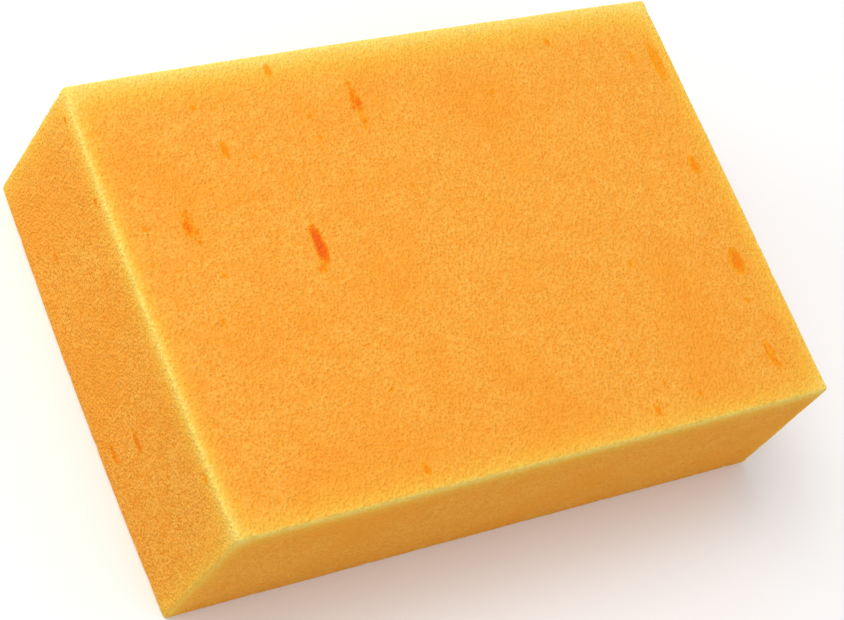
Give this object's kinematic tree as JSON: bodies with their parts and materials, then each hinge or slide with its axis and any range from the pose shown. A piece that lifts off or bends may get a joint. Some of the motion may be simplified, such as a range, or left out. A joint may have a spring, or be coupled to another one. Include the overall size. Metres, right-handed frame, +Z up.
{
  "type": "decorating sponge",
  "caption": "Rectangular block of orange open-cell foam for wiping, washing down and paint effects.",
  "frame": {"origin": "middle of the large face that the block lies on", "axes": "+X along the length, +Y across the width, +Z up through the thickness, out of the upper working face"},
  "size_m": [0.1528, 0.103, 0.0414],
  "materials": {
    "foam": "matte open-cell foam"
  },
  "bodies": {
    "root": {"sponge_block": "foam"}
  },
  "joints": []
}
